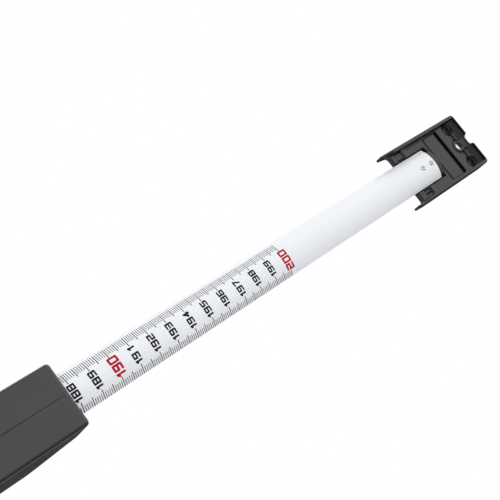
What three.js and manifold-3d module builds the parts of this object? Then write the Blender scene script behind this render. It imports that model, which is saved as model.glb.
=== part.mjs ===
// Wall-mounted stature rod: a roll-up height scale in a sliding case, hung from a small wall bracket.
//
// Millimetres, +Z up. The wall is the plane y = 0 and the rod hangs in front of it, at y < 0.
// The origin is on the axis of the bracket's screw hole, in the wall plane.
// The blade comes down from the bracket into the case, and winds onto a sprung drum there.

import * as THREE from 'three';
import { mergeVertices } from 'three/addons/utils/BufferGeometryUtils.js';
import Module from 'manifold-3d';

const wasm = await Module();
wasm.setup();

// ---------------------------------------------------------------- driving dimensions

const GAP = 0.3; // clearance between separate pieces that touch on the real rod

const BLADE = {
  width: 19, // flat width of the steel strip
  chord: 18, // width of the strip across its crown
  crown: 2.9, // height of the crown, which bulges towards the wall
  thickness: 0.3,
  ridgeY: -2.4,
  topZ: -26.2,
  bottomZ: -276,
  rivetHole: 1.0,
};

const BRACKET = {
  halfWidth: 16.4,
  depth: 8,
  topZ: 7,
  plateEndZ: -49,
  prongEndZ: -60,
  prongInnerX: 15.1,
  innerHalfWidth: 14.5,
  innerTopZ: 6.2,
  floorY: -4.8,
  panelY: -6.1,
  landY: -5.2,
  prongRootRadius: 2,
  prongTipRadius: 0.6,
  cornerRadius: 2,
  filletRadius: 4.4,
  edge: 0.35,
};

const SLOT = { halfWidth: 9.6, endZ: -22.5, floorY: -6.6 };
const PANEL = { halfWidth: 13.7, topZ: -7.5, bottomZ: -19, landEndZ: -36.5, cornerRadius: 1.5 };
const GROOVE = { halfWidth: 13.7, topZ: -7.3, bottomZ: -8.1, floorY: -6.9 };
const RIB = { halfWidth: 13, topZ: -19, bottomZ: -20.4, crestY: -4.5 };
const ARM_POCKETS = [
  { x0: 10.2, x1: 14.1, z0: -46.8, z1: -39.6 },
  { x0: -14, x1: -12.2, z0: -45, z1: -38.8 },
  { x0: -11.8, x1: -10.2, z0: -45, z1: -38.8 },
];
const POCKET_DEPTH = 0.9;
const EJECTOR_MARK = { x: 11, z: 1.2, radius: 3.2, depth: 0.5 };
const SCREW_HOLE = { radius: 2.1, sinkRadius: 4.2, bossRadius: 4.6, bossTopRadius: 3.4, bossY: -4.1 };
const NOTCH = { bottomHalfWidth: 2.3, rimHalfWidth: 3.4, bottomY: -2.7, cornerRadius: 1.6 };
const RIVET = { headRadius: 1.45, shankRadius: 0.8, recessY: -6.2, upperZ: -28.9, lowerZ: -36.6 };
const RIVET_RECESS = { halfWidth: 3.2, topZ: -24.5, bottomZ: -41.5, cornerRadius: 1.5 };

const CASE = {
  halfWidth: 13.9,
  wall: 1.7,
  topZ: -271.5,
  bottomZ: -330,
  frontY: -34.5,
  armTipY: -138,
  armTipZ: -324.2,
  armRootZ: -317,
  floorZ: -323.8,
  edge: 1.6,
  partingGap: 0.1,
  arcSegments: 8,
};
const ARM_RIBS = { places: [-58, -80, -102], halfThickness: 0.7 };

const MOUTH = { halfWidth: 10.6, rearY: -1.9, frontY: -7.6 };
const WINDOW = { halfWidth: 9.6, halfHeight: 6, cornerRadius: 1.5, rim: 1.1, clearance: 0.15 };

const COIL = { y: -17.6, z: -308, radius: 13.6, innerRadius: 10.25 };
const DRUM = {
  barrelRadius: 10.1,
  barrelInnerRadius: 9,
  flangeRadius: 14,
  flangeInnerX: 9.9,
  flangeOuterX: 10.9,
  boreRadius: 2.3,
};
const POST = { radius: 2, halfLength: 13, bossRadius: 5, bossX: 11.6 };
const WASHER = { outerRadius: 4.6, thickness: 0.4 };
const SPRING = { turns: 5.5, innerRadius: 2.6, outerRadius: 8.2, thickness: 0.3, halfWidth: 8.5 };

// Case screws, as places in the Y-Z plane; their heads are on the +X side.
const CASE_SCREWS = [
  { y: -20, z: -284 },
  { y: -5.4, z: -324.4 },
  { y: -30.4, z: -324.4 },
  { y: -124, z: -326.9 },
];
const SCREW = {
  headRadius: 1.95,
  headHeight: 1.3,
  shankRadius: 1,
  boreRadius: 2.2,
  bossRadius: 2.5,
  seatX: 12,
  tipX: -8,
  crossHalfLength: 1.1,
  crossHalfWidth: 0.25,
  crossDepth: 0.8,
};

// ---------------------------------------------------------------- materials

const blackPlastic = { color: 0x2a2a2d, roughness: 0.42, metalness: 0 };
const greyPlastic = { color: 0x38383b, roughness: 0.38, metalness: 0 };
const whiteEnamel = { color: 0xeceef1, roughness: 0.25, metalness: 0 };
const brightSteel = { color: 0xb9bcc0, roughness: 0.3, metalness: 1 };
const springSteel = { color: 0x5d6168, roughness: 0.4, metalness: 1 };
const whiteAcetal = { color: 0xe4e2da, roughness: 0.5, metalness: 0 };
const clearLens = { color: 0xdfe8ea, roughness: 0.08, metalness: 0, transparent: true, opacity: 0.35 };
const redPaint = { color: 0xc01828, roughness: 0.5, metalness: 0 };

// ---------------------------------------------------------------- solids and booleans

function signedVolume(geometry) {
  const position = geometry.attributes.position;
  const index = geometry.index;
  const [a, b, c] = [new THREE.Vector3(), new THREE.Vector3(), new THREE.Vector3()];
  let volume = 0;
  for (let i = 0; i < index.count; i += 3) {
    a.fromBufferAttribute(position, index.getX(i));
    b.fromBufferAttribute(position, index.getX(i + 1));
    c.fromBufferAttribute(position, index.getX(i + 2));
    volume += a.dot(b.cross(c)) / 6;
  }
  return volume;
}

function toSolid(geometry) {
  const bare = geometry.clone();
  bare.deleteAttribute('normal');
  bare.deleteAttribute('uv');
  const merged = mergeVertices(bare, 1e-4);
  const triangles = Uint32Array.from(merged.index.array);
  if (signedVolume(merged) < 0) {
    for (let i = 0; i < triangles.length; i += 3) {
      [triangles[i + 1], triangles[i + 2]] = [triangles[i + 2], triangles[i + 1]];
    }
  }
  const vertices = Float32Array.from(merged.attributes.position.array);
  return new wasm.Manifold(new wasm.Mesh({ numProp: 3, vertProperties: vertices, triVerts: triangles }));
}

function toGeometry(solid) {
  const mesh = solid.getMesh();
  const geometry = new THREE.BufferGeometry();
  geometry.setAttribute('position', new THREE.Float32BufferAttribute(mesh.vertProperties, 3));
  geometry.setIndex(Array.from(mesh.triVerts));
  geometry.computeVertexNormals();
  return geometry;
}

function cut(base, ...tools) {
  return tools.reduce((solid, tool) => solid.subtract(tool), base);
}

function join(...solids) {
  return solids.reduce((whole, solid) => whole.add(solid));
}

function piece(name, solid, material) {
  const mesh = new THREE.Mesh(toGeometry(solid), new THREE.MeshStandardMaterial(material));
  mesh.name = name;
  return mesh;
}

// ---------------------------------------------------------------- shape helpers

// A closed outline of straight runs with rounded corners, from [u, v, radius] corners in order.
function roundedOutline(corners) {
  const shape = new THREE.Shape();
  corners.forEach(([u, v, radius = 0], i) => {
    const corner = new THREE.Vector2(u, v);
    const before = new THREE.Vector2(...corners[(i + corners.length - 1) % corners.length]);
    const after = new THREE.Vector2(...corners[(i + 1) % corners.length]);
    const toBefore = before.sub(corner).normalize();
    const toAfter = after.sub(corner).normalize();
    if (radius > 0) {
      const half = toBefore.angleTo(toAfter) / 2;
      const inward = toBefore.clone().add(toAfter).normalize();
      const centre = corner.clone().addScaledVector(inward, radius / Math.sin(half));
      const entry = corner.clone().addScaledVector(toBefore, radius / Math.tan(half)).sub(centre);
      const leave = corner.clone().addScaledVector(toAfter, radius / Math.tan(half)).sub(centre);
      const clockwise = toBefore.cross(toAfter) > 0;
      shape.absarc(centre.x, centre.y, radius, entry.angle(), leave.angle(), clockwise);
    } else if (i === 0) {
      shape.moveTo(u, v);
    } else {
      shape.lineTo(u, v);
    }
  });
  return shape;
}

function rectangle(u0, u1, v0, v1, radius = 0) {
  return roundedOutline([[u0, v0, radius], [u1, v0, radius], [u1, v1, radius], [u0, v1, radius]]);
}

function circle(u, v, radius) {
  return new THREE.Shape().absarc(u, v, radius, 0, 2 * Math.PI, false);
}

function extrusion(shape, length, edge, segments, edgeSegments) {
  return new THREE.ExtrudeGeometry(shape, {
    depth: length - 2 * edge,
    bevelEnabled: edge > 0,
    bevelThickness: edge,
    bevelSize: edge,
    bevelOffset: -edge,
    bevelSegments: edgeSegments,
    curveSegments: segments,
  }).translate(0, 0, edge);
}

const AXES = {
  x: new THREE.Vector3(1, 0, 0),
  y: new THREE.Vector3(0, 1, 0),
  z: new THREE.Vector3(0, 0, 1),
};

// A (y, z) outline swept along X from x0 to x1.
function sweepX(shape, x0, x1, { edge = 0, segments = 3, edgeSegments = 2 } = {}) {
  const turn = new THREE.Matrix4().makeBasis(AXES.y, AXES.z, AXES.x);
  const swept = extrusion(shape, x1 - x0, edge, segments, edgeSegments);
  return toSolid(swept.applyMatrix4(turn).translate(x0, 0, 0));
}

// An (x, z) outline swept along Y from y1 down to y0.
function sweepY(shape, y0, y1, { edge = 0, segments = 3, edgeSegments = 2 } = {}) {
  const turn = new THREE.Matrix4().makeBasis(AXES.x, AXES.z, AXES.y.clone().negate());
  const swept = extrusion(shape, y1 - y0, edge, segments, edgeSegments);
  return toSolid(swept.applyMatrix4(turn).translate(0, y1, 0));
}

// An (x, y) outline swept along Z from z0 to z1.
function sweepZ(shape, z0, z1, { edge = 0, segments = 3, edgeSegments = 2 } = {}) {
  return toSolid(extrusion(shape, z1 - z0, edge, segments, edgeSegments).translate(0, 0, z0));
}

function block(x0, x1, y0, y1, z0, z1) {
  const box = new THREE.BoxGeometry(x1 - x0, y1 - y0, z1 - z0);
  return toSolid(box.translate((x0 + x1) / 2, (y0 + y1) / 2, (z0 + z1) / 2));
}

// A profile of [radius, distance] points turned about an axis along X or Y through a point.
function turnedX(profile, y = 0, z = 0, segments = 32) {
  const points = profile.map(([radius, x]) => new THREE.Vector2(radius, x));
  return toSolid(new THREE.LatheGeometry(points, segments).rotateZ(-Math.PI / 2).translate(0, y, z));
}

function turnedY(profile, x = 0, z = 0, segments = 24) {
  const points = profile.map(([radius, y]) => new THREE.Vector2(radius, y));
  return toSolid(new THREE.LatheGeometry(points, segments).translate(x, 0, z));
}

function rodX(radius, x0, x1, y, z, segments = 16) {
  return turnedX([[0, x0], [radius, x0], [radius, x1], [0, x1]], y, z, segments);
}

// ---------------------------------------------------------------- blade

const CROWN_RADIUS = (BLADE.chord ** 2 / 4 + BLADE.crown ** 2) / (2 * BLADE.crown);
const CROWN_HALF_ANGLE = Math.asin(BLADE.chord / 2 / CROWN_RADIUS);

// The crowned strip in the X-Y plane, between two depths below its wall-side skin.
function crownSection(skinDepth, coreDepth) {
  const centreY = BLADE.ridgeY - CROWN_RADIUS;
  const start = Math.PI / 2 + CROWN_HALF_ANGLE;
  const end = Math.PI / 2 - CROWN_HALF_ANGLE;
  const shape = new THREE.Shape();
  shape.absarc(0, centreY, CROWN_RADIUS - skinDepth, start, end, true);
  shape.absarc(0, centreY, CROWN_RADIUS - coreDepth, end, start, false);
  shape.closePath();
  return shape;
}

// A saddle under the crown: the crown's curve on top, straight sides and a flat foot.
function saddleSection(clearance, footY) {
  const radius = CROWN_RADIUS - BLADE.thickness - clearance;
  const centreY = BLADE.ridgeY - CROWN_RADIUS;
  const start = Math.PI / 2 + CROWN_HALF_ANGLE;
  const end = Math.PI / 2 - CROWN_HALF_ANGLE;
  const halfWidth = radius * Math.sin(CROWN_HALF_ANGLE);
  const shape = new THREE.Shape();
  shape.moveTo(-halfWidth, footY);
  shape.absarc(0, centreY, radius, start, end, true);
  shape.lineTo(halfWidth, footY);
  shape.closePath();
  return shape;
}

function rivetHole(z, radius) {
  return turnedY([[0, -9], [radius, -9], [radius, 1], [0, 1]], 0, z, 16);
}

function makeBlade() {
  const section = crownSection(0, BLADE.thickness);
  const strip = sweepZ(section, BLADE.bottomZ, BLADE.topZ, { segments: 6 });
  const holes = [RIVET.upperZ, RIVET.lowerZ].map((z) => rivetHole(z, BLADE.rivetHole));
  return cut(strip, ...holes);
}

// Inside the case the strip loses its crown on the way to the drum, where it lies flat.
function makeBladeLead() {
  const [rows, columns] = [8, 10];
  const topZ = BLADE.bottomZ - GAP;
  const bottomZ = COIL.z + 4;
  const flatY = COIL.y + COIL.radius;
  const vertices = [];
  for (const depth of [0, BLADE.thickness]) {
    for (let i = 0; i <= rows; i += 1) {
      const flattening = THREE.MathUtils.smoothstep(i / rows, 0, 1);
      const halfAngle = THREE.MathUtils.lerp(CROWN_HALF_ANGLE, 0.02, flattening);
      const radius = BLADE.width / 2 / halfAngle;
      const ridgeY = THREE.MathUtils.lerp(BLADE.ridgeY, flatY, flattening);
      for (let j = 0; j <= columns; j += 1) {
        const angle = halfAngle * (2 * j / columns - 1);
        const x = (radius - depth) * Math.sin(angle);
        const y = ridgeY - radius + (radius - depth) * Math.cos(angle);
        vertices.push(x, y, THREE.MathUtils.lerp(topZ, bottomZ, i / rows));
      }
    }
  }
  const at = (side, i, j) => side * (rows + 1) * (columns + 1) + i * (columns + 1) + j;
  const faces = [];
  const quad = (a, b, c, d) => faces.push(a, b, c, a, c, d);
  for (let i = 0; i < rows; i += 1) {
    for (let j = 0; j < columns; j += 1) {
      quad(at(0, i, j), at(0, i, j + 1), at(0, i + 1, j + 1), at(0, i + 1, j));
      quad(at(1, i, j), at(1, i + 1, j), at(1, i + 1, j + 1), at(1, i, j + 1));
    }
    quad(at(0, i, 0), at(0, i + 1, 0), at(1, i + 1, 0), at(1, i, 0));
    quad(at(0, i, columns), at(1, i, columns), at(1, i + 1, columns), at(0, i + 1, columns));
  }
  for (let j = 0; j < columns; j += 1) {
    quad(at(0, 0, j), at(1, 0, j), at(1, 0, j + 1), at(0, 0, j + 1));
    quad(at(0, rows, j), at(0, rows, j + 1), at(1, rows, j + 1), at(1, rows, j));
  }
  const geometry = new THREE.BufferGeometry();
  geometry.setAttribute('position', new THREE.Float32BufferAttribute(vertices, 3));
  geometry.setIndex(faces);
  return toSolid(geometry);
}

// ---------------------------------------------------------------- wall bracket

// Front outline: a plate with rounded top corners and two prongs that run on past its lower end.
function bracketOutline() {
  const { halfWidth, topZ, plateEndZ, prongEndZ, prongInnerX } = BRACKET;
  const right = [
    [halfWidth, topZ, BRACKET.cornerRadius],
    [halfWidth, prongEndZ, BRACKET.prongTipRadius],
    [prongInnerX, prongEndZ, 0],
    [prongInnerX, plateEndZ, BRACKET.prongRootRadius],
  ];
  const left = right.map(([x, z, radius]) => [-x, z, radius]).reverse();
  return roundedOutline([...right, ...left]);
}

// The hollow on the wall side, with a large fillet where its floor meets the top wall.
function trayHollow() {
  const { innerHalfWidth, innerTopZ, floorY, plateEndZ, filletRadius } = BRACKET;
  const openEndZ = plateEndZ - 0.6;
  const profile = roundedOutline([
    [1, openEndZ, 0],
    [1, innerTopZ, 0],
    [floorY, innerTopZ, filletRadius],
    [floorY, openEndZ, 0],
  ]);
  return sweepX(profile, -innerHalfWidth, innerHalfWidth, { segments: 5 });
}

function armPockets() {
  const { floorY } = BRACKET;
  const cornerRadius = 0.4;
  return ARM_POCKETS.map(({ x0, x1, z0, z1 }) =>
    sweepY(rectangle(x0, x1, z0, z1, cornerRadius), floorY - POCKET_DEPTH, floorY + 1),
  );
}

function ejectorMark(side) {
  const { x, z, radius, depth } = EJECTOR_MARK;
  const { floorY, filletRadius } = BRACKET;
  return sweepY(circle(side * x, z, radius), floorY - depth, floorY + filletRadius / 2, { segments: 10 });
}

// A low rounded rib across the tray, between the panel and the blade's slot.
function crossRib() {
  const { halfWidth, topZ, bottomZ, crestY } = RIB;
  const rootY = BRACKET.panelY - 0.4;
  const profile = roundedOutline([
    [rootY, bottomZ, 0],
    [crestY, bottomZ, 0.5],
    [crestY, topZ, 0.5],
    [rootY, topZ, 0],
  ]);
  return sweepX(profile, -halfWidth, halfWidth);
}

// A conical boss round the screw hole, and a ramp from it up to the notch.
function screwBoss() {
  const { bossRadius, bossTopRadius, bossY } = SCREW_HOLE;
  const rootY = BRACKET.floorY - 0.4;
  const cone = turnedY([[0, rootY], [bossRadius, rootY], [bossTopRadius, bossY], [0, bossY]]);
  const ramp = new THREE.Shape()
    .moveTo(rootY, 1.5)
    .lineTo(bossY - 0.1, 1.5)
    .lineTo(NOTCH.bottomY, BRACKET.innerTopZ + 0.3)
    .lineTo(rootY, BRACKET.innerTopZ + 0.3);
  return join(cone, sweepX(ramp, -3, 3));
}

function screwHole() {
  const { radius, sinkRadius } = SCREW_HOLE;
  const frontY = -BRACKET.depth;
  const throatY = frontY + (sinkRadius - radius);
  const profile = [
    [0, frontY - 1],
    [sinkRadius, frontY - 1],
    [sinkRadius, frontY],
    [radius, throatY],
    [radius, 1],
    [0, 1],
  ];
  return turnedY(profile);
}

function hangingNotch() {
  const { bottomHalfWidth, rimHalfWidth, bottomY, cornerRadius } = NOTCH;
  const outline = roundedOutline([
    [-rimHalfWidth, 1, 0],
    [-rimHalfWidth, 0, 1],
    [-bottomHalfWidth, bottomY, cornerRadius],
    [bottomHalfWidth, bottomY, cornerRadius],
    [rimHalfWidth, 0, 1],
    [rimHalfWidth, 1, 0],
  ]);
  return sweepZ(outline, BRACKET.innerTopZ - 0.2, BRACKET.topZ + 1);
}

function makeWallBracket() {
  const { depth, plateEndZ, prongEndZ, floorY, panelY, landY, edge } = BRACKET;
  const rearY = floorY + 1;
  const body = sweepY(bracketOutline(), -depth, 0, { edge });
  const prongSlope = new THREE.Shape()
    .moveTo(-depth - 1, plateEndZ - 1)
    .lineTo(-depth, plateEndZ - 1)
    .lineTo(-depth / 2, prongEndZ - 1)
    .lineTo(-depth - 1, prongEndZ - 1);
  const { halfWidth, topZ, bottomZ, landEndZ, cornerRadius } = PANEL;
  const panel = sweepY(rectangle(-halfWidth, halfWidth, bottomZ, topZ, cornerRadius), panelY, rearY);
  const land = sweepY(rectangle(-halfWidth, halfWidth, landEndZ, topZ - 1), landY, rearY);
  const groove = block(
    -GROOVE.halfWidth, GROOVE.halfWidth, GROOVE.floorY, rearY, GROOVE.bottomZ, GROOVE.topZ,
  );
  const slot = block(-SLOT.halfWidth, SLOT.halfWidth, SLOT.floorY, 1, plateEndZ - 1, SLOT.endZ);
  const hollows = [trayHollow(), panel, groove, land, slot, ...armPockets()];
  const shell = cut(body, sweepX(prongSlope, -20, 20), ...hollows);
  const marked = cut(shell, ejectorMark(-1), ejectorMark(1));
  const saddle = saddleSection(0.15, SLOT.floorY - 0.5);
  const tongue = sweepZ(saddle, plateEndZ + edge, SLOT.endZ + 0.3, { segments: 6 });
  const recess = RIVET_RECESS;
  const recessShape = rectangle(
    -recess.halfWidth, recess.halfWidth, recess.bottomZ, recess.topZ, recess.cornerRadius,
  );
  const rivetRecess = sweepY(recessShape, -depth - 1, RIVET.recessY);
  const rivetHoles = [RIVET.upperZ, RIVET.lowerZ].map((z) => rivetHole(z, BLADE.rivetHole));
  const whole = join(marked, tongue, screwBoss(), crossRib());
  return cut(whole, rivetRecess, ...rivetHoles, screwHole(), hangingNotch());
}

function makeRivet(z) {
  const { headRadius, shankRadius, recessY } = RIVET;
  const seatY = BLADE.ridgeY + 0.1;
  const tailY = recessY - 0.15;
  const profile = [
    [0, tailY - 0.7],
    [headRadius - 0.3, tailY - 0.65],
    [headRadius, tailY],
    [shankRadius, tailY],
    [shankRadius, seatY],
    [headRadius, seatY],
    [headRadius - 0.15, seatY + 0.3],
    [headRadius - 0.7, seatY + 0.5],
    [0, seatY + 0.55],
  ];
  return turnedY(profile, 0, z, 16);
}

// ---------------------------------------------------------------- case

function caseOutline() {
  const { topZ, bottomZ, frontY, armTipY, armTipZ, armRootZ } = CASE;
  return roundedOutline([
    [0, bottomZ, 1.9],
    [0, topZ, 1.9],
    [-15, topZ, 7],
    [frontY, topZ - 17.5, 8],
    [frontY, armRootZ, 4],
    [frontY - 18, armRootZ - 3.6, 20],
    [armTipY, armTipZ, 2.6],
    [armTipY, bottomZ, 2.6],
  ]);
}

function drumHollow() {
  const { wall, topZ, frontY, floorZ, halfWidth } = CASE;
  const outline = roundedOutline([
    [-wall, floorZ, 1.5],
    [-wall, topZ - wall, 0.6],
    [-14.4, topZ - wall, 6],
    [frontY + wall, topZ - 18.3, 7],
    [frontY + wall, floorZ, 1.5],
  ]);
  return sweepX(outline, -halfWidth + wall, halfWidth - wall);
}

// The arm is hollow too, with a few cross ribs left standing in it.
function armHollow() {
  const { wall, bottomZ, frontY, armTipY, armTipZ, armRootZ, halfWidth } = CASE;
  const { places, halfThickness } = ARM_RIBS;
  const outline = roundedOutline([
    [frontY - 0.3, bottomZ + wall, 0.8],
    [frontY - 0.3, armRootZ - wall - 1.6, 0.8],
    [frontY - 18, armRootZ - wall - 3.6, 0],
    [armTipY + wall, armTipZ - wall, 0.6],
    [armTipY + wall, bottomZ + wall, 0.6],
  ]);
  const hollow = sweepX(outline, -halfWidth + wall, halfWidth - wall);
  const ribs = places.map((y) =>
    block(-halfWidth, halfWidth, y - halfThickness, y + halfThickness, bottomZ, armRootZ),
  );
  return cut(hollow, ...ribs);
}

// The window's outline, grown on all sides by a margin.
function windowShape(margin, cornerRadius) {
  const x = WINDOW.halfWidth + margin;
  const z = WINDOW.halfHeight + margin;
  return rectangle(-x, x, COIL.z - z, COIL.z + z, cornerRadius);
}

function makeCaseHalf(side) {
  const { halfWidth, wall, edge, partingGap, frontY, topZ, arcSegments } = CASE;
  const rounding = { edge, segments: arcSegments, edgeSegments: 3 };
  const solidCase = sweepX(caseOutline(), -halfWidth, halfWidth, rounding);
  const shell = cut(solidCase, drumHollow(), armHollow());
  const innerX = halfWidth - wall;
  const bossEnds = [side * POST.bossX, side * (innerX + 0.2)].sort((a, b) => a - b);
  const postBoss = rodX(POST.bossRadius, ...bossEnds, COIL.y, COIL.z, 24);
  const bossX = innerX + 0.2;
  const screwBosses = CASE_SCREWS.map(({ y, z }) => rodX(SCREW.bossRadius, -bossX, bossX, y, z));
  const postHoleX = POST.halfLength + 0.2;
  const postHole = rodX(POST.radius + 0.1, -postHoleX, postHoleX, COIL.y, COIL.z);
  const screwHoles = CASE_SCREWS.flatMap(({ y, z }) => [
    rodX(SCREW.shankRadius + 0.25, SCREW.tipX - 1, halfWidth + 1, y, z),
    rodX(SCREW.boreRadius, SCREW.seatX, halfWidth + 1, y, z),
  ]);
  const mouth = block(-MOUTH.halfWidth, MOUTH.halfWidth, MOUTH.frontY, MOUTH.rearY, topZ - 3, topZ + 1);
  const opening = sweepY(windowShape(0, WINDOW.cornerRadius), frontY - 1, frontY + wall + 0.2);
  const whole = cut(join(shell, postBoss, ...screwBosses), postHole, ...screwHoles, mouth, opening);
  const [nearX, farX] = [side * partingGap, side * (halfWidth + 5)].sort((a, b) => a - b);
  return whole.intersect(block(nearX, farX, CASE.armTipY - 5, 5, CASE.bottomZ - 5, topZ + 5));
}

function makeCaseScrew({ y, z }) {
  const { headRadius, headHeight, shankRadius, tipX, crossDepth } = SCREW;
  const { crossHalfLength: long, crossHalfWidth: narrow } = SCREW;
  const headInnerX = SCREW.seatX + 0.15;
  const headOuterX = headInnerX + headHeight;
  const profile = [
    [0, tipX],
    [shankRadius * 0.5, tipX],
    [shankRadius, tipX + 2],
    [shankRadius, headInnerX],
    [headRadius, headInnerX],
    [headRadius, headOuterX - 0.4],
    [headRadius - 0.5, headOuterX],
    [0, headOuterX],
  ];
  const crossX = [headOuterX - crossDepth, headOuterX + 1];
  const cross = [
    block(...crossX, y - long, y + long, z - narrow, z + narrow),
    block(...crossX, y - narrow, y + narrow, z - long, z + long),
  ];
  return cut(turnedX(profile, y, z, 18), ...cross);
}

// A clear pane that fills the window, with a rim behind the wall that stops it falling out.
function makeWindowLens() {
  const { cornerRadius, rim, clearance } = WINDOW;
  const pane = windowShape(-clearance, cornerRadius - clearance);
  const flange = windowShape(rim, cornerRadius);
  const wallInnerY = CASE.frontY + CASE.wall;
  const outer = sweepY(pane, CASE.frontY - 0.2, wallInnerY + 0.4, { edge: 0.3 });
  return join(outer, sweepY(flange, wallInnerY + 0.1, wallInnerY + 0.8));
}

function makeIndexLine() {
  const y = CASE.frontY + CASE.wall + 0.85;
  return block(-8.6, 8.6, y, y + 0.3, COIL.z - 0.3, COIL.z + 0.3);
}

// A saddle that the hollow side of the blade runs over just inside the mouth.
function makeMouthGuide() {
  const { topZ, wall } = CASE;
  const { frontY } = MOUTH;
  const footHalfWidth = 12;
  const section = saddleSection(0.25, frontY + 0.6);
  const saddle = sweepZ(section, topZ - 4.6, topZ - 0.2, { segments: 6 });
  const foot = block(-footHalfWidth, footHalfWidth, frontY + 0.2, frontY + 1, topZ - 5.6, topZ - wall - 0.3);
  return join(saddle, foot);
}

function makeDrumPost() {
  const post = rodX(POST.radius, -POST.halfLength, POST.halfLength, COIL.y, COIL.z, 24);
  const slit = block(-SPRING.halfWidth, SPRING.halfWidth, COIL.y - 0.3, COIL.y + 0.3, COIL.z, COIL.z + 3);
  return cut(post, slit);
}

// ---------------------------------------------------------------- drum, built about its own axis

function makeDrum() {
  const { barrelRadius, barrelInnerRadius, flangeRadius, flangeInnerX, flangeOuterX, boreRadius } = DRUM;
  const profile = [
    [boreRadius, flangeInnerX],
    [barrelInnerRadius, flangeInnerX],
    [barrelInnerRadius, -flangeInnerX + 0.1],
    [barrelRadius, -flangeInnerX + 0.1],
    [barrelRadius, flangeInnerX],
    [flangeRadius, flangeInnerX],
    [flangeRadius, flangeOuterX],
    [boreRadius, flangeOuterX],
    [boreRadius, flangeInnerX],
  ];
  const clipSlot = block(-7.3, 7.3, -0.9, 0.9, -barrelRadius - 1, -barrelInnerRadius + 1);
  return cut(turnedX(profile, 0, 0, 40), clipSlot);
}

function makeDrumFlange() {
  const { flangeRadius, flangeInnerX, flangeOuterX, boreRadius } = DRUM;
  const profile = [
    [boreRadius, -flangeOuterX],
    [flangeRadius, -flangeOuterX],
    [flangeRadius, -flangeInnerX],
    [boreRadius, -flangeInnerX],
    [boreRadius, -flangeOuterX],
  ];
  return turnedX(profile, 0, 0, 40);
}

function makeDrumWasher(side) {
  const innerX = side * (DRUM.flangeOuterX + 0.12);
  const outerX = innerX + side * WASHER.thickness;
  const bore = DRUM.boreRadius;
  const rim = WASHER.outerRadius;
  return turnedX([[bore, innerX], [rim, innerX], [rim, outerX], [bore, outerX], [bore, innerX]], 0, 0, 20);
}

function makeBladeCoil() {
  const { radius, innerRadius } = COIL;
  const half = BLADE.width / 2;
  const profile = [
    [innerRadius, -half],
    [radius, -half],
    [radius, half],
    [innerRadius, half],
    [innerRadius, -half],
  ];
  return turnedX(profile, 0, 0, 48);
}

// The clip that hooks the inner end of the blade through the drum's barrel.
function makeBladeEndClip() {
  const neck = block(-7, 7, -0.7, 0.7, -DRUM.barrelRadius, -DRUM.barrelInnerRadius + 0.2);
  const foot = block(-7, 7, -1.4, 1.4, -DRUM.barrelInnerRadius + 0.15, -DRUM.barrelInnerRadius + 0.5);
  return join(neck, foot);
}

function makePowerSpring() {
  const { turns, innerRadius, outerRadius, thickness, halfWidth } = SPRING;
  const steps = Math.round(turns * 14);
  const point = (step, offset) => {
    const share = step / steps;
    const radius = THREE.MathUtils.lerp(innerRadius, outerRadius, share) + offset;
    const angle = share * turns * 2 * Math.PI;
    return new THREE.Vector2(radius * Math.cos(angle), radius * Math.sin(angle));
  };
  const stations = Array.from({ length: steps + 1 }, (_, step) => step);
  const outer = stations.map((step) => point(step, thickness / 2));
  const inner = stations.map((step) => point(step, -thickness / 2)).reverse();
  return sweepX(new THREE.Shape([...outer, ...inner]), -halfWidth, halfWidth);
}

// ---------------------------------------------------------------- assembly

const bracketGroup = new THREE.Group();
bracketGroup.add(
  piece('wall_bracket', makeWallBracket(), blackPlastic),
  piece('blade', makeBlade(), whiteEnamel),
  piece('blade_rivet_upper', makeRivet(RIVET.upperZ), brightSteel),
  piece('blade_rivet_lower', makeRivet(RIVET.lowerZ), brightSteel),
);

const caseGroup = new THREE.Group();
caseGroup.add(
  piece('case_left', makeCaseHalf(-1), greyPlastic),
  piece('case_right', makeCaseHalf(1), greyPlastic),
  piece('window_lens', makeWindowLens(), clearLens),
  piece('index_line', makeIndexLine(), redPaint),
  piece('mouth_guide', makeMouthGuide(), whiteAcetal),
  piece('blade_lead', makeBladeLead(), whiteEnamel),
  piece('drum_post', makeDrumPost(), brightSteel),
);
CASE_SCREWS.forEach((place, i) => {
  caseGroup.add(piece(`case_screw_${i + 1}`, makeCaseScrew(place), brightSteel));
});

const drumGroup = new THREE.Group();
drumGroup.position.set(0, COIL.y, COIL.z);
drumGroup.add(
  piece('drum', makeDrum(), whiteAcetal),
  piece('drum_flange', makeDrumFlange(), whiteAcetal),
  piece('drum_washer_left', makeDrumWasher(-1), whiteAcetal),
  piece('drum_washer_right', makeDrumWasher(1), whiteAcetal),
  piece('blade_coil', makeBladeCoil(), whiteEnamel),
  piece('blade_end_clip', makeBladeEndClip(), brightSteel),
  piece('power_spring', makePowerSpring(), springSteel),
);

const statureRod = new THREE.Group();
statureRod.add(bracketGroup, caseGroup, drumGroup);

export default statureRod;
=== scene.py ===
"""A wall-mounted roll-up stature rod, seen from its wall side, with its case drawn down below its bracket.

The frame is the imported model: metres, +Z up, the wall plane at y = 0, the rod in front of it at y < 0.
Lengths in this script are millimetres where a name ends in _mm, and metres everywhere else.
"""

import math

import bmesh
import bpy
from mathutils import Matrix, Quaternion, Vector


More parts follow.
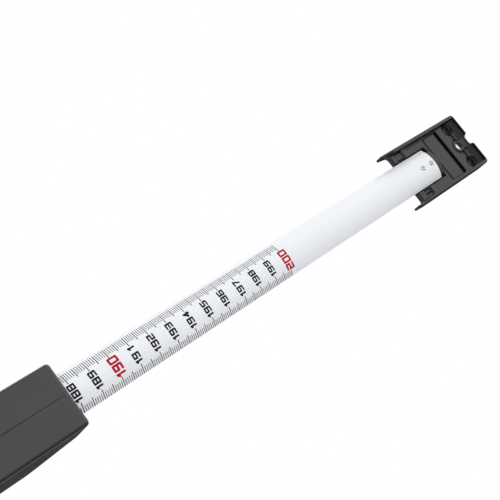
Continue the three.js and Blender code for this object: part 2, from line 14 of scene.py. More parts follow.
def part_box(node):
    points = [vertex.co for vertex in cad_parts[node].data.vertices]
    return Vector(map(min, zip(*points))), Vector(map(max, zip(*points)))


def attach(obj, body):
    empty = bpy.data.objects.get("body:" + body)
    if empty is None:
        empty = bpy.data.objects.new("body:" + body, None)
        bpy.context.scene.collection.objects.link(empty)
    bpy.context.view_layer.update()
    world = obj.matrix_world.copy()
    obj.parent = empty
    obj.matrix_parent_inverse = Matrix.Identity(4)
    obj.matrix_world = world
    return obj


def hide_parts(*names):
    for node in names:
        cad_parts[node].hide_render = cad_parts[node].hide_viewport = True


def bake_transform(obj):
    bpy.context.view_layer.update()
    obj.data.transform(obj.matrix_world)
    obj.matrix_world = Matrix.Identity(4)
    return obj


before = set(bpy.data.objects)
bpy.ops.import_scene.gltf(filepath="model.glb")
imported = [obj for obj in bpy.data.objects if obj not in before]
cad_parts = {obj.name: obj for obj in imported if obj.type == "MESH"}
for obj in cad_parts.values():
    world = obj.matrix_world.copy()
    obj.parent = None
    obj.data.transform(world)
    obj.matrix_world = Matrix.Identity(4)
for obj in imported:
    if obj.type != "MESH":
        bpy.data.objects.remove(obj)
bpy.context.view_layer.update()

scene = bpy.context.scene
MM = 0.001

# ---------------------------------------------------------------- camera

CAMERA_PLACE = Vector((-0.04295, 0.32231, -0.42070))
CAMERA_AIM = Vector((0.01062, -0.00240, -0.16203))
CAMERA_ROLL = math.radians(58.654)
CAMERA_LENS = 68.17


def make_camera():
    """The photo's view: from the wall side and below, with the picture turned about the line of sight."""
    camera = bpy.data.objects.new("camera", bpy.data.cameras.new("camera"))
    camera.data.lens = CAMERA_LENS
    camera.data.sensor_width = 36
    camera.data.clip_start = 0.01
    camera.location = CAMERA_PLACE
    upright = (CAMERA_AIM - CAMERA_PLACE).to_track_quat("-Z", "Y")
    camera.rotation_mode = "QUATERNION"
    camera.rotation_quaternion = upright @ Quaternion((0, 0, 1), CAMERA_ROLL)
    scene.collection.objects.link(camera)
    scene.camera = camera


make_camera()

# ---------------------------------------------------------------- numbers that vary over a surface


class Field:
    """A number that varies over a surface. Arithmetic on it adds Math nodes to its node tree."""

    def __init__(self, tree, socket):
        self.tree = tree
        self.socket = socket

    def op(self, operation, *others):
        node = self.tree.nodes.new("ShaderNodeMath")
        node.operation = operation
        for target, value in zip(node.inputs, (self, *others)):
            feed(self.tree, target, value)
        return Field(self.tree, node.outputs[0])

    def __add__(self, other):
        return self.op("ADD", other)

    def __sub__(self, other):
        return self.op("SUBTRACT", other)

    def __mul__(self, other):
        return self.op("MULTIPLY", other)

    def __truediv__(self, other):
        return self.op("DIVIDE", other)

    def __mod__(self, other):
        return self.op("FLOORED_MODULO", other)

    def __neg__(self):
        return self * -1

    def above(self, limit):
        return self.op("GREATER_THAN", limit)

    def below(self, limit):
        return self.op("LESS_THAN", limit)

    def clamp(self):
        return self.op("MAXIMUM", 0).op("MINIMUM", 1)

    def length_with(self, other):
        return (self * self + other * other).op("SQRT")


def feed(tree, target, value):
    """Links a Field or a socket to an input, or sets a plain value on it."""
    if isinstance(value, Field):
        tree.links.new(value.socket, target)
    elif isinstance(value, bpy.types.NodeSocket):
        tree.links.new(value, target)
    else:
        target.default_value = value


def constant(tree, value):
    """The same number everywhere, as a Field."""
    node = tree.nodes.new("ShaderNodeValue")
    node.outputs[0].default_value = value
    return Field(tree, node.outputs[0])


def position_mm(tree):
    """The point on the surface, in the frame of the body it rides on, in millimetres."""
    coordinates = tree.nodes.new("ShaderNodeTexCoord")
    split = tree.nodes.new("ShaderNodeSeparateXYZ")
    tree.links.new(coordinates.outputs["Object"], split.inputs[0])
    return [Field(tree, split.outputs[axis]) * 1000 for axis in "XYZ"]


def noise(tree, size_mm, detail=3, stretch=(1, 1, 1)):
    """Noise between 0 and 1 whose grain is about size_mm, drawn out along each axis by stretch."""
    coordinates = tree.nodes.new("ShaderNodeTexCoord")
    mapping = tree.nodes.new("ShaderNodeMapping")
    mapping.inputs["Scale"].default_value = [1 / (size_mm * MM * s) for s in stretch]
    texture = tree.nodes.new("ShaderNodeTexNoise")
    texture.inputs["Scale"].default_value = 1
    texture.inputs["Detail"].default_value = detail
    tree.links.new(coordinates.outputs["Object"], mapping.inputs["Vector"])
    tree.links.new(mapping.outputs[0], texture.inputs["Vector"])
    return Field(tree, texture.outputs["Fac"])


def ramp(field, low, high):
    """The field stretched so that low becomes 0 and high becomes 1."""
    return ((field - low) / (high - low)).clamp()


def mix(tree, share, first, second):
    """The colour first where share is 0 and second where it is 1."""
    node = tree.nodes.new("ShaderNodeMix")
    node.data_type = "RGBA"
    feed(tree, node.inputs["Factor"], share)
    feed(tree, node.inputs["A"], first)
    feed(tree, node.inputs["B"], second)
    return node.outputs["Result"]


def bump(tree, height, depth_mm):
    """A surface normal tilted as if the height field raised the surface by up to depth_mm."""
    node = tree.nodes.new("ShaderNodeBump")
    node.inputs["Strength"].default_value = 1
    node.inputs["Distance"].default_value = depth_mm * MM
    feed(tree, node.inputs["Height"], height)
    return node.outputs["Normal"]


PALE_EDGE_POINTINESS = (0.53, 0.62)  # from a face, where it is 0.5, to a sharp convex edge
PALE_EDGE_GRAIN_MM = 0.9


def edge_wear_and_highlight(tree):
    """1 on convex edges, 0 on faces, broken up by fine noise: where edges are painted paler, partly as
    rubbed wear and partly as a painted highlight.
    """
    pointiness = Field(tree, tree.nodes.new("ShaderNodeNewGeometry").outputs["Pointiness"])
    return ramp(pointiness, *PALE_EDGE_POINTINESS) * ramp(noise(tree, size_mm=PALE_EDGE_GRAIN_MM), 0.3, 0.7)


def sway(field, amount):
    """How far a field from 0 to 1 is from its middle, scaled so that its whole span is the amount."""
    return (field - 0.5) * amount


def grey(level):
    return (level, level, level, 1)


def tinted(colour, factor):
    return tuple(channel * factor for channel in colour[:3]) + (1,)


def new_material(name):
    """A material, its node tree and its Principled shader."""
    material = bpy.data.materials.new(name)
    material.use_nodes = True
    tree = material.node_tree
    return material, tree, tree.nodes["Principled BSDF"]


# ---------------------------------------------------------------- plastics and metals


def moulded_plastic(name, colour, roughness, grain_mm, grain_depth_mm, wear_and_highlight, sheen):
    """Moulded plastic: a fine spark-eroded grain, faint flow marks, and paler convex edges, partly rubbed
    wear and partly a painted highlight.
    """
    material, tree, shader = new_material(name)
    flow = noise(tree, size_mm=9, detail=4, stretch=(1, 1, 2.5))
    base = mix(tree, flow, tinted(colour, 0.8), tinted(colour, 1.25))
    # Convex edges painted paler: partly rubbed wear, partly a painted highlight.
    rubbed_and_highlit = edge_wear_and_highlight(tree) * wear_and_highlight
    feed(tree, shader.inputs["Base Color"], mix(tree, rubbed_and_highlit, base, tinted(colour, 3.2)))
    handled = noise(tree, size_mm=14, detail=5)
    feed(tree, shader.inputs["Roughness"], sway(handled, 0.16) + rubbed_and_highlit * 0.1 + roughness)
    feed(tree, shader.inputs["Normal"], bump(tree, noise(tree, size_mm=grain_mm, detail=2), grain_depth_mm))
    shader.inputs["IOR"].default_value = 1.5
    shader.inputs["Specular IOR Level"].default_value = sheen
    return material


def bright_steel(name, colour, roughness, stretch):
    """Plated or blued steel: fine grain, drawn out along each axis by stretch, and a few duller patches."""
    material, tree, shader = new_material(name)
    drawn = noise(tree, size_mm=0.25, detail=3, stretch=stretch)
    patches = noise(tree, size_mm=3, detail=3)
    feed(tree, shader.inputs["Base Color"], mix(tree, patches, tinted(colour, 0.85), tinted(colour, 1.1)))
    feed(tree, shader.inputs["Roughness"], sway(drawn, 0.2) + sway(patches, 0.16) + roughness)
    feed(tree, shader.inputs["Normal"], bump(tree, drawn, 0.004))
    shader.inputs["Metallic"].default_value = 1
    return material


def white_acetal():
    """Natural acetal: slightly waxy and uneven, with a soft sheen."""
    material, tree, shader = new_material("white_acetal")
    cloud = noise(tree, size_mm=5, detail=3)
    feed(tree, shader.inputs["Base Color"], mix(tree, cloud, (0.74, 0.72, 0.66, 1), (0.84, 0.83, 0.79, 1)))
    feed(tree, shader.inputs["Roughness"], sway(cloud, 0.2) + 0.42)
    feed(tree, shader.inputs["Normal"], bump(tree, noise(tree, size_mm=0.5, detail=2), 0.006))
    shader.inputs["Subsurface Weight"].default_value = 0.12
    shader.inputs["Subsurface Scale"].default_value = 0.0015
    return material


def index_paint():
    """Red line paint, its tone and gloss uneven in fine patches."""
    material, tree, shader = new_material("index_paint")
    cloud = noise(tree, size_mm=0.8, detail=3)
    colour = mix(tree, cloud, (0.48, 0.005, 0.015, 1), (0.68, 0.012, 0.025, 1))
    feed(tree, shader.inputs["Base Color"], colour)
    feed(tree, shader.inputs["Roughness"], cloud * 0.2 + 0.35)
    return material


def clear_acrylic():
    """Clear acrylic: lets most light straight through, with a gloss that grows towards grazing."""
    material, tree, shader = new_material("clear_acrylic")
    tree.nodes.remove(shader)
    scratches = noise(tree, size_mm=0.4, detail=2, stretch=(12, 1, 1))
    fresnel = tree.nodes.new("ShaderNodeFresnel")
    fresnel.inputs["IOR"].default_value = 1.49
    see_through = tree.nodes.new("ShaderNodeBsdfTransparent")
    see_through.inputs["Color"].default_value = (0.93, 0.96, 0.97, 1)
    gloss = tree.nodes.new("ShaderNodeBsdfGlossy")
    feed(tree, gloss.inputs["Roughness"], ramp(scratches, 0.55, 0.8) * 0.2 + 0.04)
    blend_shader = tree.nodes.new("ShaderNodeMixShader")
    tree.links.new(fresnel.outputs[0], blend_shader.inputs[0])
    tree.links.new(see_through.outputs[0], blend_shader.inputs[1])
    tree.links.new(gloss.outputs[0], blend_shader.inputs[2])
    output = tree.nodes["Material Output"]
    tree.links.new(blend_shader.outputs[0], output.inputs["Surface"])
    return material


# ---------------------------------------------------------------- the printed scale

CROWN_RADIUS_MM = 15.416
CROWN_CENTRE_Y_MM = -2.4 - CROWN_RADIUS_MM
BLADE_THICKNESS_MM = 0.22
ZERO_Z_MM = -2149.0  # where the reading would be 0, on the straight blade
PRINT_OFFSET_MM = 0.85  # the print's middle lies this far to -X of the blade's
LAST_CM = 200
INK_EDGE_MM = 0.05

TICK = {"half_line": 0.15, "long_half_line": 0.2, "outer": 8.8, "mm": 6.0, "five": 5.1, "cm": 4.5}
TICK_EXTRA_MM = 0.6  # the ticks of the +X edge reach this much further in
DIGIT = {"pitch": 3.02, "half_width": 0.95, "half_height": 1.4, "half_stroke": 0.4}
DECADE_GROWTH = {"width": 0.13, "height": 0.33, "shift_mm": 0.55}
NUMBER_SHIFT_MM = 0.75  # the numbers stand this far to -X of the middle of the ticks

# The strokes of the digits, on a cell from -1 to 1 both ways, each with the digits that have it.
STROKES = [
    ((-1, 1), (1, 1), (0, 2, 3, 5, 6, 7, 8, 9)),
    ((1, 1), (1, 0), (0, 2, 3, 8, 9)),
    ((1, 0), (1, -1), (0, 3, 5, 6, 8, 9)),
    ((-1, -1), (1, -1), (0, 2, 3, 5, 6, 8, 9)),
    ((-1, 0), (-1, -1), (0, 2, 6, 8)),
    ((-1, 1), (-1, 0), (0, 5, 6, 8, 9)),
    ((-1, 0), (1, 0), (2, 3, 5, 6, 8, 9)),
    ((0.5, 1), (0.5, -1), (4,)),
    ((0.5, 1), (-1, -0.35), (4,)),
    ((-1, -0.35), (1, -0.35), (4,)),
    ((1, 1), (-0.3, -1), (7,)),
    ((0.8, 1), (0.8, -1), (1,)),
    ((0.8, 1), (0.1, 0.55), (1,)),
]


def within(field, low, high, margin):
    """1 where the field is between low and high, or past them by less than the margin."""
    return field.above(low - margin) * field.below(high + margin)


def cover(depth):
    """How far a point is inside a printed edge, as ink from 0 to 1. depth is in millimetres."""
    return (depth / INK_EDGE_MM + 0.5).clamp()


def stroke_distance(across, up, start, end):
    """Distance in millimetres to a stroke between two points of the digit's cell."""
    ax, ay = start[0] * DIGIT["half_width"], start[1] * DIGIT["half_height"]
    dx = end[0] * DIGIT["half_width"] - ax
    dy = end[1] * DIGIT["half_height"] - ay
    px, py = across - ax, up - ay
    share = ((px * dx + py * dy) / (dx * dx + dy * dy)).clamp()
    return (px - share * dx).length_with(py - share * dy)


def tick_ink(reading, across):
    """The millimetre ticks along both edges. reading is in cm, across in mm from the print's middle."""
    millimetres = reading * 10
    nearest = millimetres.op("ROUND")
    off_line = (millimetres - nearest).op("ABSOLUTE")
    five = (nearest % 5).below(0.5)
    ten = (nearest % 10).below(0.5)
    inner = five * (TICK["five"] - TICK["mm"]) + ten * (TICK["cm"] - TICK["five"]) + TICK["mm"]
    inner = inner - across.above(0) * TICK_EXTRA_MM
    half_line = five * (TICK["long_half_line"] - TICK["half_line"]) + TICK["half_line"]
    out = across.op("ABSOLUTE")
    return cover(half_line - off_line) * cover(out - inner) * cover(-out + TICK["outer"])


def number_ink(reading, across):
    """The centimetre numbers, and 1 where the number is a decade, which is larger and red."""
    number = reading.op("ROUND")
    decade = (number % 10).below(0.5)
    width = decade * DECADE_GROWTH["width"] + 1
    height = decade * DECADE_GROWTH["height"] + 1
    up = (-(reading - number) * 10 + decade * DECADE_GROWTH["shift_mm"]) / height
    along = (across + NUMBER_SHIFT_MM) / width / DIGIT["pitch"]
    digits = number.above(9.5) + number.above(99.5) + 1
    place = (along + digits / 2).op("FLOOR")
    inside = place.above(-0.5) * (place - digits).below(-0.5)
    cell_x = (along - place + (digits - 1) / 2) * DIGIT["pitch"]
    power = digits - place - 1
    digit = (number / constant(number.tree, 10).op("POWER", power)).op("FLOOR") % 10
    digit_bit = constant(number.tree, 2).op("POWER", digit)
    ink = None
    for start, end, members in STROKES:
        mask = sum(2**member for member in members)
        has_it = (constant(number.tree, mask) / digit_bit).op("FLOOR") % 2
        stroke = cover(-stroke_distance(cell_x, up, start, end) + DIGIT["half_stroke"]) * has_it
        ink = stroke if ink is None else ink.op("MAXIMUM", stroke)
    return ink * inside, decade


ENAMEL = (0.86, 0.875, 0.905, 1)
ENAMEL_ROUGHNESS = 0.24
ENAMEL_SHEEN = 0.4
ENAMEL_COAT = 0.12
INK_BLACK = (0.008, 0.008, 0.010, 1)
INK_RED = (0.47, 0.004, 0.018, 1)
INK_SHEEN = 0.08
INK_ROUGHER = 0.2  # how much rougher the ink is than the enamel
INK_THINNEST = 0.88  # how much of the enamel the ink covers where it is thinnest
TICK_MARGIN_CM = 0.02
NUMBER_MARGIN_CM = 0.45


def enamel(name, place_print=None):
    """White enamel on steel. place_print gives the reading in cm, the mm across, and where ink may lie."""
    material, tree, shader = new_material(name)
    cloud = noise(tree, size_mm=12, detail=4)
    colour = mix(tree, cloud, tinted(ENAMEL, 0.985), tinted(ENAMEL, 1.015))
    roughness = sway(cloud, 0.1) + ENAMEL_ROUGHNESS
    if place_print:
        reading, across, printed = place_print(tree)
        blotch = ramp(noise(tree, size_mm=0.35, detail=2), 0.15, 0.35) * (1 - INK_THINNEST) + INK_THINNEST
        ticks = tick_ink(reading, across) * printed * within(reading, 0, LAST_CM, TICK_MARGIN_CM)
        numbers, decade = number_ink(reading, across)
        numbers = numbers * printed * within(reading, 1, LAST_CM, NUMBER_MARGIN_CM)
        number_colour = mix(tree, decade, INK_BLACK, INK_RED)
        colour = mix(tree, ticks * blotch, colour, INK_BLACK)
        colour = mix(tree, numbers * blotch, colour, number_colour)
        ink = ticks.op("MAXIMUM", numbers)
        roughness = roughness + ink * INK_ROUGHER
        feed(tree, shader.inputs["Specular IOR Level"], ink * (INK_SHEEN - ENAMEL_SHEEN) + ENAMEL_SHEEN)
        feed(tree, shader.inputs["Coat Weight"], (-ink + 1) * ENAMEL_COAT)
    else:
        shader.inputs["Specular IOR Level"].default_value = ENAMEL_SHEEN
        shader.inputs["Coat Weight"].default_value = ENAMEL_COAT
    feed(tree, shader.inputs["Base Color"], colour)
    feed(tree, shader.inputs["Roughness"], roughness)
    feed(tree, shader.inputs["Normal"], bump(tree, noise(tree, size_mm=1.6, detail=3), 0.004))
    shader.inputs["Coat Roughness"].default_value = 0.06
    return material


def print_on_blade(tree):
    """The scale on the wall side of the straight blade, which fills from the floor upwards."""
    x, y, z = position_mm(tree)
    along_arc = (x / CROWN_RADIUS_MM).op("ARCSINE") * CROWN_RADIUS_MM
    from_axis = x.length_with(y - CROWN_CENTRE_Y_MM)
    skin = from_axis.above(CROWN_RADIUS_MM - BLADE_THICKNESS_MM / 2)
    return (z - ZERO_Z_MM) / 10, along_arc + PRINT_OFFSET_MM, skin


COIL_Y_MM = -17.6
COIL_Z_MM = -308.0
COIL_RADIUS_MM = 13.6
COIL_INNER_RADIUS_MM = 10.25
COIL_STRIP_MM = 0.17
COIL_TURNS = 13
STEPS_A_TURN = 72
COIL_COLUMNS = 6
READING_AT_INDEX = 179.83  # what faces the window with the case in this place


def print_on_coil(tree):
    """The same scale, carried on round the outer turn of the coil, from the mouth to the window."""
    x, y, z = position_mm(tree)
    rear, up = y - COIL_Y_MM, z - COIL_Z_MM
    angle = up.op("ARCTAN2", -rear)
    skin = rear.length_with(up).above(COIL_RADIUS_MM - 0.2)
    return -(angle * (COIL_RADIUS_MM / 10)) + READING_AT_INDEX, x + PRINT_OFFSET_MM, skin


# ---------------------------------------------------------------- mesh helpers


def new_piece(name, mesh, material, smooth=True):
    piece = bpy.data.objects.new(name, mesh)
    scene.collection.objects.link(piece)
    mesh.materials.clear()
    mesh.materials.append(material)
    for polygon in mesh.polygons:
        polygon.use_smooth = smooth
    return piece


def apply_modifiers(piece):
    graph = bpy.context.evaluated_depsgraph_get()
    final = bpy.data.meshes.new_from_object(piece.evaluated_get(graph))
    piece.modifiers.clear()
    piece.data = final


def grid_body(name, rows, columns, point):
    """A closed thin sheet: point(side, i, j) gives each corner in mm, for side 0 (skin) and 1 (core)."""
    stride = columns + 1
    vertices = [
        Vector(point(side, i, j)) * MM for side in (0, 1) for i in range(rows + 1) for j in range(stride)
    ]

    def at(side, i, j):
        return side * (rows + 1) * stride + i * stride + j

    faces = []
    for i in range(rows):
        for j in range(columns):
            faces.append((at(0, i, j), at(0, i, j + 1), at(0, i + 1, j + 1), at(0, i + 1, j)))
            faces.append((at(1, i, j), at(1, i + 1, j), at(1, i + 1, j + 1), at(1, i, j + 1)))
        faces.append((at(0, i, 0), at(0, i + 1, 0), at(1, i + 1, 0), at(1, i, 0)))
        faces.append((at(0, i, columns), at(1, i, columns), at(1, i + 1, columns), at(0, i + 1, columns)))
    for j in range(columns):
        faces.append((at(0, 0, j), at(1, 0, j), at(1, 0, j + 1), at(0, 0, j + 1)))
        faces.append((at(0, rows, j), at(0, rows, j + 1), at(1, rows, j + 1), at(1, rows, j)))
    mesh = bpy.data.meshes.new(name)
    mesh.from_pydata(vertices, [], faces)
    body = bmesh.new()
    body.from_mesh(mesh)
    bmesh.ops.recalc_face_normals(body, faces=body.faces)
    body.to_mesh(mesh)
    body.free()
    return mesh


CREASE_DEGREES = 35


def sharpen(mesh):
    """Marks the edges that turn by more than the crease angle, so that smooth shading stops at them."""
    body = bmesh.new()
    body.from_mesh(mesh)
    for edge in body.edges:
        edge.smooth = edge.calc_face_angle(math.pi) < math.radians(CREASE_DEGREES)
    body.to_mesh(mesh)
    body.free()


LATHE_SEGMENTS = 48


def lathe_y(name, profile, x_mm, z_mm):
    """A profile of (radius, y) points in mm, closed on the axis, turned about an axis along Y."""
    body = bmesh.new()
    rings = []
    for radius, y in profile:
        if radius == 0:
            rings.append([body.verts.new(Vector((x_mm, y, z_mm)) * MM)])
            continue
        ring = []
        for k in range(LATHE_SEGMENTS):
            angle = 2 * math.pi * k / LATHE_SEGMENTS
            point = (x_mm + radius * math.cos(angle), y, z_mm + radius * math.sin(angle))
            ring.append(body.verts.new(Vector(point) * MM))
        rings.append(ring)
    for first, second in zip(rings, rings[1:]):
        for k in range(LATHE_SEGMENTS):
            after = (k + 1) % LATHE_SEGMENTS
            corners = [first[k % len(first)], first[after % len(first)]]
            corners += [second[after % len(second)], second[k % len(second)]]
            body.faces.new(list(dict.fromkeys(corners)))
    bmesh.ops.recalc_face_normals(body, faces=body.faces)
    mesh = bpy.data.meshes.new(name)
    body.to_mesh(mesh)
    body.free()
    return mesh


WELD_DISTANCE = 1e-6
FLAT_DEGREES = 0.6  # faces that meet at less than this are one flat face
SHARP_DEGREES = 34


def welded_copy(node, join_flat_faces):
    """A copy of a CAD node's mesh with its split corners joined, and on request its flat faces too."""
    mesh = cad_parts[node].data.copy()
    body = bmesh.new()
    body.from_mesh(mesh)
    bmesh.ops.remove_doubles(body, verts=body.verts, dist=WELD_DISTANCE)
    if join_flat_faces:
        limit = math.radians(FLAT_DEGREES)
        bmesh.ops.dissolve_limit(body, angle_limit=limit, verts=body.verts, edges=body.edges)
    body.to_mesh(mesh)
    body.free()
    return mesh


def refined(node, body_name, material, voxel_mm, passes):
    """A finer copy of a CAD node, its edges softly rounded as moulded parts' are. It stands for the node."""
    piece = new_piece(node + "_fine", welded_copy(node, False), material)
    remesh = piece.modifiers.new("remesh", "REMESH")
    remesh.mode = "VOXEL"
    remesh.voxel_size = voxel_mm * MM
    remesh.use_smooth_shade = True
    relax = piece.modifiers.new("relax", "SMOOTH")
    relax.factor = 0.5
    relax.iterations = passes
    apply_modifiers(piece)
    piece.data.materials.clear()
    piece.data.materials.append(material)
    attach(piece, body_name)
    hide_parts(node)


def crisp(node, body_name, material, edge_mm):
    """A finer copy of a CAD node: flat faces stay flat, sharp edges are broken. It stands for the node."""
    piece = new_piece(node + "_fine", welded_copy(node, True), material)
    broken = piece.modifiers.new("broken_edges", "BEVEL")
    broken.width = edge_mm * MM
    broken.segments = 2
    broken.angle_limit = math.radians(SHARP_DEGREES)
    broken.use_clamp_overlap = True
    shading = piece.modifiers.new("flat_faces", "WEIGHTED_NORMAL")
    shading.keep_sharp = True
    apply_modifiers(piece)
    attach(piece, body_name)
    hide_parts(node)


# ---------------------------------------------------------------- materials in use

# In each plastic below, the edge share sets how much its convex edges are painted paler, partly as rubbed
# wear and partly as a painted highlight.
bracket_black = moulded_plastic(
    "bracket_black", colour=(0.005, 0.005, 0.006, 1),
    roughness=0.19, grain_mm=0.28, grain_depth_mm=0.004, wear_and_highlight=0.08, sheen=0.42,
)
case_grey = moulded_plastic(
    "case_grey", colour=(0.022, 0.022, 0.025, 1),
    roughness=0.22, grain_mm=0.35, grain_depth_mm=0.006, wear_and_highlight=0.08, sheen=0.45,
)
plated_steel = bright_steel("plated_steel", (0.66, 0.67, 0.69, 1), roughness=0.27, stretch=(1, 1, 1))
blued_steel = bright_steel("blued_steel", (0.27, 0.29, 0.34, 1), roughness=0.33, stretch=(14, 1, 1))
acetal = white_acetal()
red_paint = index_paint()
acrylic = clear_acrylic()
blade_enamel = enamel("blade_enamel", print_on_blade)
coil_enamel = enamel("coil_enamel", print_on_coil)
plain_enamel = enamel("plain_enamel")

NODE_MATERIALS = {
    "window_lens": acrylic,
    "index_line": red_paint,
    "mouth_guide": acetal,
    "blade_lead": plain_enamel,
    "drum_post": plated_steel,
    "drum": acetal,
    "drum_flange": acetal,
    "drum_washer_left": acetal,
    "drum_washer_right": acetal,
    "blade_end_clip": plated_steel,
    "power_spring": blued_steel,
}


def dress_cad_nodes():
    """Gives the CAD nodes that are shown as they are their materials."""
    for node, material in NODE_MATERIALS.items():
        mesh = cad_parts[node].data
        mesh.materials.clear()
        mesh.materials.append(material)


dress_cad_nodes()

# ---------------------------------------------------------------- blade

BLADE_HALF_CHORD_MM = 9
HALF_ANGLE = math.asin(BLADE_HALF_CHORD_MM / CROWN_RADIUS_MM)
BLADE_TOP_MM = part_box("blade")[1].z / MM
BLADE_BOTTOM_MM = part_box("blade")[0].z / MM
BLADE_SPLIT_MM = -50.0  # the height where the rigid upper stretch ends and the lower one begins
SPLIT_OVERLAP_MM = 1
STRIP_COLUMNS = 56
LOWER_INSET_MM = 0.015  # the lower stretch is this much thinner on each side, and slips inside the upper
RIVET_NODES = ("blade_rivet_upper", "blade_rivet_lower")
RIVET_Z_MM = [(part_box(node)[0].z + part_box(node)[1].z) / 2 / MM for node in RIVET_NODES]
DIMPLE = {"depth": 0.16, "reach": 1.9}


def rivet_dimple(x, z):
    """How far the strip is drawn in round the rivets, in mm."""
    depth = 0
    for rivet_z in RIVET_Z_MM:
        distance = math.hypot(x, z - rivet_z)
        depth += DIMPLE["depth"] * math.exp(-((distance / DIMPLE["reach"]) ** 2))
    return depth


def crowned_strip(name, top_mm, bottom_mm, rows, inset_mm):
    """A straight stretch of the blade, crowned towards the wall."""

    def point(side, i, j):
        z = top_mm + (bottom_mm - top_mm) * i / rows
        angle = HALF_ANGLE * (2 * j / STRIP_COLUMNS - 1)
        skin = (inset_mm, BLADE_THICKNESS_MM - inset_mm)[side]
        radius = CROWN_RADIUS_MM - skin
        x = radius * math.sin(angle)
        y = CROWN_CENTRE_Y_MM + radius * math.cos(angle) - rivet_dimple(x, z)
        return x, y, z

    return grid_body(name, rows, STRIP_COLUMNS, point)


def make_blade():
    """The blade between bracket and case: an upper stretch on the bracket, and a lower one below it."""
    upper_mesh = crowned_strip("blade_upper", BLADE_TOP_MM, BLADE_SPLIT_MM, rows=70, inset_mm=0)
    sharpen(upper_mesh)
    upper = new_piece("blade_upper", upper_mesh, blade_enamel)
    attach(upper, "bracket")
    lower_top_mm = BLADE_SPLIT_MM + SPLIT_OVERLAP_MM
    lower_mesh = crowned_strip(
        "blade_lower", lower_top_mm, BLADE_BOTTOM_MM, rows=80, inset_mm=LOWER_INSET_MM,
    )
    sharpen(lower_mesh)
    lower = new_piece("blade_lower", lower_mesh, blade_enamel)
    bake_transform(lower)
    for piece in (upper, lower):
        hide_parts("blade")


make_blade()

# ---------------------------------------------------------------- rivets

# The rivet's section, in mm. seat_drop and tail_rise are measured along Y from the CAD rivet's two ends.
RIVET = {"seat_drop": 0.62, "tail_rise": 0.7, "shank_radius": 0.8}
ROLLED_RING = {"radius": 0.92, "half_width": 0.4, "lift": 0.2, "height": 0.36, "steps": 8}


def rolled_ring(seat):
    """The half round section of the rivet's rolled edge, from its bore outwards."""
    ring = ROLLED_RING
    points = []
    for k in range(ring["steps"] + 1):
        angle = math.pi * (1 - k / ring["steps"])
        radius = ring["radius"] + ring["half_width"] * math.cos(angle)
        points.append((radius, seat + ring["lift"] + ring["height"] * math.sin(angle)))
    return points


def make_rivet(node):
    """A tubular rivet: rolled over to a ring on the wall side, with a low dome in front."""
    low, high = (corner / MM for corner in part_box(node))
    z = (low.z + high.z) / 2
    seat = high.y - RIVET["seat_drop"]
    tail = low.y + RIVET["tail_rise"]
    shank = RIVET["shank_radius"]
    bore = [(0, seat - 0.5), (0.42, seat - 0.45), (0.5, seat - 0.2), (0.55, seat + 0.3)]
    dome = [(1.43, tail), (1.4, tail - 0.25), (1.2, tail - 0.5), (0.8, tail - 0.64), (0, tail - 0.68)]
    profile = bore + rolled_ring(seat) + [(1.26, seat), (shank, seat), (shank, tail)] + dome
    mesh = lathe_y(node, profile, 0, z)
    sharpen(mesh)
    piece = new_piece(node + "_rolled", mesh, plated_steel)
    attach(piece, "bracket")
    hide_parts(node)


for rivet_node in RIVET_NODES:
    make_rivet(rivet_node)

# ---------------------------------------------------------------- coil


def make_coil():
    """The blade's turns on the drum: one long strip, round for its outer turn and spiral inside it."""
    low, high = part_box("blade_coil")
    half_width = (high.x - low.x) / 2 / MM
    pitch = (COIL_RADIUS_MM - COIL_INNER_RADIUS_MM) / (COIL_TURNS - 1)

    def point(side, i, j):
        turned = i / STEPS_A_TURN
        radius = COIL_RADIUS_MM - pitch * max(turned - 1, 0) - side * COIL_STRIP_MM
        angle = 2 * math.pi * turned
        x = half_width * (2 * j / COIL_COLUMNS - 1)
        return x, COIL_Y_MM + radius * math.cos(angle), COIL_Z_MM - radius * math.sin(angle)

    mesh = grid_body("blade_coil", COIL_TURNS * STEPS_A_TURN, COIL_COLUMNS, point)
    sharpen(mesh)
    piece = new_piece("blade_coil_wound", mesh, coil_enamel)
    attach(piece, "drum")
    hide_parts("blade_coil")


make_coil()

# ---------------------------------------------------------------- bracket, case and screws

refined("wall_bracket", "bracket", bracket_black, voxel_mm=0.28, passes=4)
for side_node in ("case_left", "case_right"):
    crisp(side_node, "case", case_grey, edge_mm=0.2)
for count in range(1, 5):
    refined(f"case_screw_{count}", "case", plated_steel, voxel_mm=0.12, passes=3)

# ---------------------------------------------------------------- floor and light


FLOOR_HALF_SIZE = 14
FLOOR_DROP = 2.13  # below the bracket's screw hole


def make_floor():
    """A plain pale floor, where the case's arm would stand at a reading of 0."""
    size, drop = FLOOR_HALF_SIZE, FLOOR_DROP
    mesh = bpy.data.meshes.new("floor")
    corners = [(-size, -size, -drop), (size, -size, -drop), (size, size, -drop), (-size, size, -drop)]
    mesh.from_pydata(corners, [], [(0, 1, 2, 3)])
    material, tree, shader = new_material("floor")
    cloud = noise(tree, size_mm=400, detail=3)
    feed(tree, shader.inputs["Base Color"], mix(tree, cloud, grey(0.86), grey(0.9)))
    shader.inputs["Roughness"].default_value = 0.85
    floor = new_piece("floor", mesh, material, smooth=False)


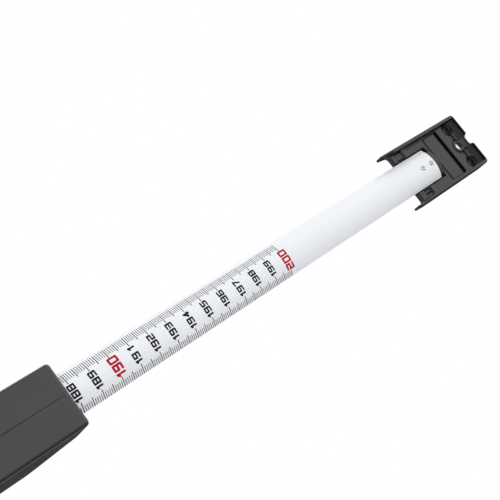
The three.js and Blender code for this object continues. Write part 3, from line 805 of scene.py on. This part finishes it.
# The studio: soft glows in a dim room, three on the wall side, two in front and one overhead. Each has a
# direction, a strength, and two cosines: where the glow starts and where it is full.
GLOWS = [
    ((0.62, 0.68, 0.40), 0.96, 0.30, 0.95),
    ((-0.10, 0.75, 0.66), 0.60, 0.55, 0.98),
    ((-0.30, 0.80, 0.50), 0.14, 0.00, 1.00),
    ((0.78, -0.55, 0.30), 1.40, 0.58, 0.97),
    ((-0.75, -0.62, 0.25), 0.60, 0.76, 0.98),
    ((0.0, 0.0, 1.0), 0.90, 0.78, 0.98),
]
ROOM_BRIGHTNESS = 0.035


def glow(tree, direction, strength, start, full):
    """A soft round glow of light from one direction."""
    incoming = tree.nodes.new("ShaderNodeTexCoord").outputs["Generated"]
    facing = tree.nodes.new("ShaderNodeVectorMath")
    facing.operation = "DOT_PRODUCT"
    tree.links.new(incoming, facing.inputs[0])
    facing.inputs[1].default_value = Vector(direction).normalized()
    share = ramp(Field(tree, facing.outputs["Value"]), start, full)
    smooth = share * share * (-(share * 2) + 3)
    return smooth * strength


def make_light():
    """The light of the glows, and a plain white backdrop that only the camera sees."""
    scene.view_settings.view_transform = "Standard"
    world = bpy.data.worlds.new("studio")
    world.use_nodes = True
    tree = world.node_tree
    light = tree.nodes["Background"]
    brightness = constant(tree, ROOM_BRIGHTNESS)
    for direction, strength, start, full in GLOWS:
        brightness = brightness + glow(tree, direction, strength, start, full)
    feed(tree, light.inputs["Strength"], brightness)
    light.inputs["Color"].default_value = (0.985, 0.99, 1.0, 1)
    backdrop = tree.nodes.new("ShaderNodeBackground")
    backdrop.inputs["Color"].default_value = grey(1)
    seen = tree.nodes.new("ShaderNodeMixShader")
    tree.links.new(tree.nodes.new("ShaderNodeLightPath").outputs["Is Camera Ray"], seen.inputs[0])
    tree.links.new(light.outputs[0], seen.inputs[1])
    tree.links.new(backdrop.outputs[0], seen.inputs[2])
    tree.links.new(seen.outputs[0], tree.nodes["World Output"].inputs["Surface"])
    scene.world = world


make_floor()
make_light()
